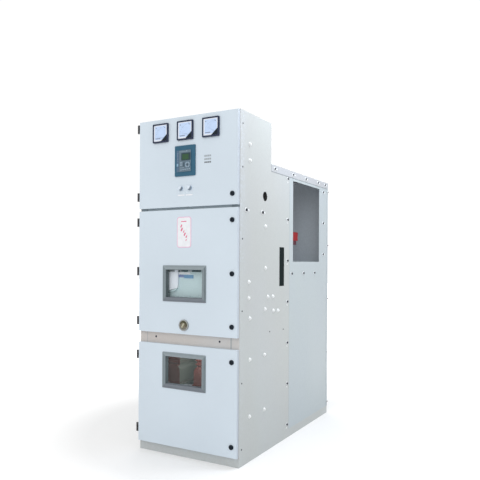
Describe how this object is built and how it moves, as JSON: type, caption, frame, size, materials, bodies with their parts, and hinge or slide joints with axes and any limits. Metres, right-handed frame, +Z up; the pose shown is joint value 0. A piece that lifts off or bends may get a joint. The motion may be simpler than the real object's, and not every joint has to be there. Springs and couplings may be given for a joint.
{
  "type": "metal-clad switchgear cabinet",
  "caption": "Tall sheet-metal switchgear cabinet with hinged doors, instruments, viewing windows and a withdrawable breaker truck.",
  "frame": {"origin": "on the floor under the middle of the body, on the underside of the foundation frame's middle rail", "axes": "+Z up, +Y from the doors to the rear covers, +X to the right seen from the front"},
  "size_m": [0.822, 1.618, 2.3],
  "materials": {
    "door_paint": "satin powder coat",
    "zinc_sheet": "aluminium-zinc coated sheet, dull",
    "rail_grey": "satin",
    "strip_paint": "satin",
    "epoxy_brown": "cast resin, satin",
    "copper": "copper bar, satin",
    "sleeve_yellow": "moulded insulating hood",
    "sleeve_green": "moulded insulating hood",
    "sleeve_red": "moulded insulating hood",
    "hinge_black": "black zinc casting",
    "lock_black": "moulded, satin",
    "meter_black": "moulded, satin",
    "relay_blue": "moulded, satin",
    "button_chrome": "polished",
    "window_grey": "moulded, satin",
    "window_glass": "clear toughened glass",
    "escutcheon_brass": "nickel-brass, brushed",
    "truck_paint": "satin powder coat",
    "case_grey": "satin",
    "wheel_steel": "turned steel"
  },
  "bodies": {
    "cabinet": {"base_frame": "door_paint", "left_post": "door_paint", "right_post": "door_paint", "left_side_wall": "zinc_sheet", "right_side_wall": "zinc_sheet", "left_rear_wall": "zinc_sheet", "right_rear_wall": "zinc_sheet", "instrument_box": "zinc_sheet", "instrument_roof": "door_paint", "rear_roof": "zinc_sheet", "relief_flaps": "zinc_sheet", "rear_covers": "zinc_sheet", "door_rail": "rail_grey", "cross_strip": "strip_paint", "breaker_floor": "zinc_sheet", "breaker_partition": "zinc_sheet", "busbar_floor": "zinc_sheet", "busbar_back": "zinc_sheet", "contact_boxes": "epoxy_brown", "phase_bars": "copper", "yellow_sleeve": "sleeve_yellow", "green_sleeve": "sleeve_green", "red_sleeve": "sleeve_red", "transformer_rails": "zinc_sheet", "instrument_transformers": "epoxy_brown", "fixed_hinges": "hinge_black"},
    "upper_door": {"instrument_door": "door_paint", "instrument_door_hinges": "hinge_black", "instrument_door_lock": "lock_black", "meters": "meter_black", "protection_relay": "relay_blue", "push_buttons": "button_chrome"},
    "middle_door": {"breaker_door": "door_paint", "breaker_door_hinges": "hinge_black", "breaker_door_locks": "lock_black", "breaker_window_frame": "window_grey", "breaker_window_pane": "window_glass", "racking_escutcheon": "escutcheon_brass"},
    "lower_door": {"cable_door": "door_paint", "cable_door_hinges": "hinge_black", "cable_door_locks": "lock_black", "cable_window_frame": "window_grey", "cable_window_pane": "window_glass"},
    "truck": {"truck_panel": "truck_paint", "truck_body": "case_grey", "truck_wheels": "wheel_steel", "breaker_poles": "epoxy_brown", "contact_arms": "copper"}
  },
  "joints": [
    {"name": "upper_door_hinge", "type": "hinge", "parent": "cabinet", "child": "upper_door", "pos_m": [-0.412, -0.791, 1.99], "axis": [0, 0, -1], "range_deg": [0, 120]},
    {"name": "middle_door_hinge", "type": "hinge", "parent": "cabinet", "child": "middle_door", "pos_m": [-0.412, -0.791, 1.25], "axis": [0, 0, -1], "range_deg": [0, 120]},
    {"name": "lower_door_hinge", "type": "hinge", "parent": "cabinet", "child": "lower_door", "pos_m": [-0.412, -0.791, 0.41], "axis": [0, 0, -1], "range_deg": [0, 120]},
    {"name": "truck_slide", "type": "slide", "parent": "cabinet", "child": "truck", "axis": [0, 1, 0], "range_m": [0, 0.2]}
  ]
}
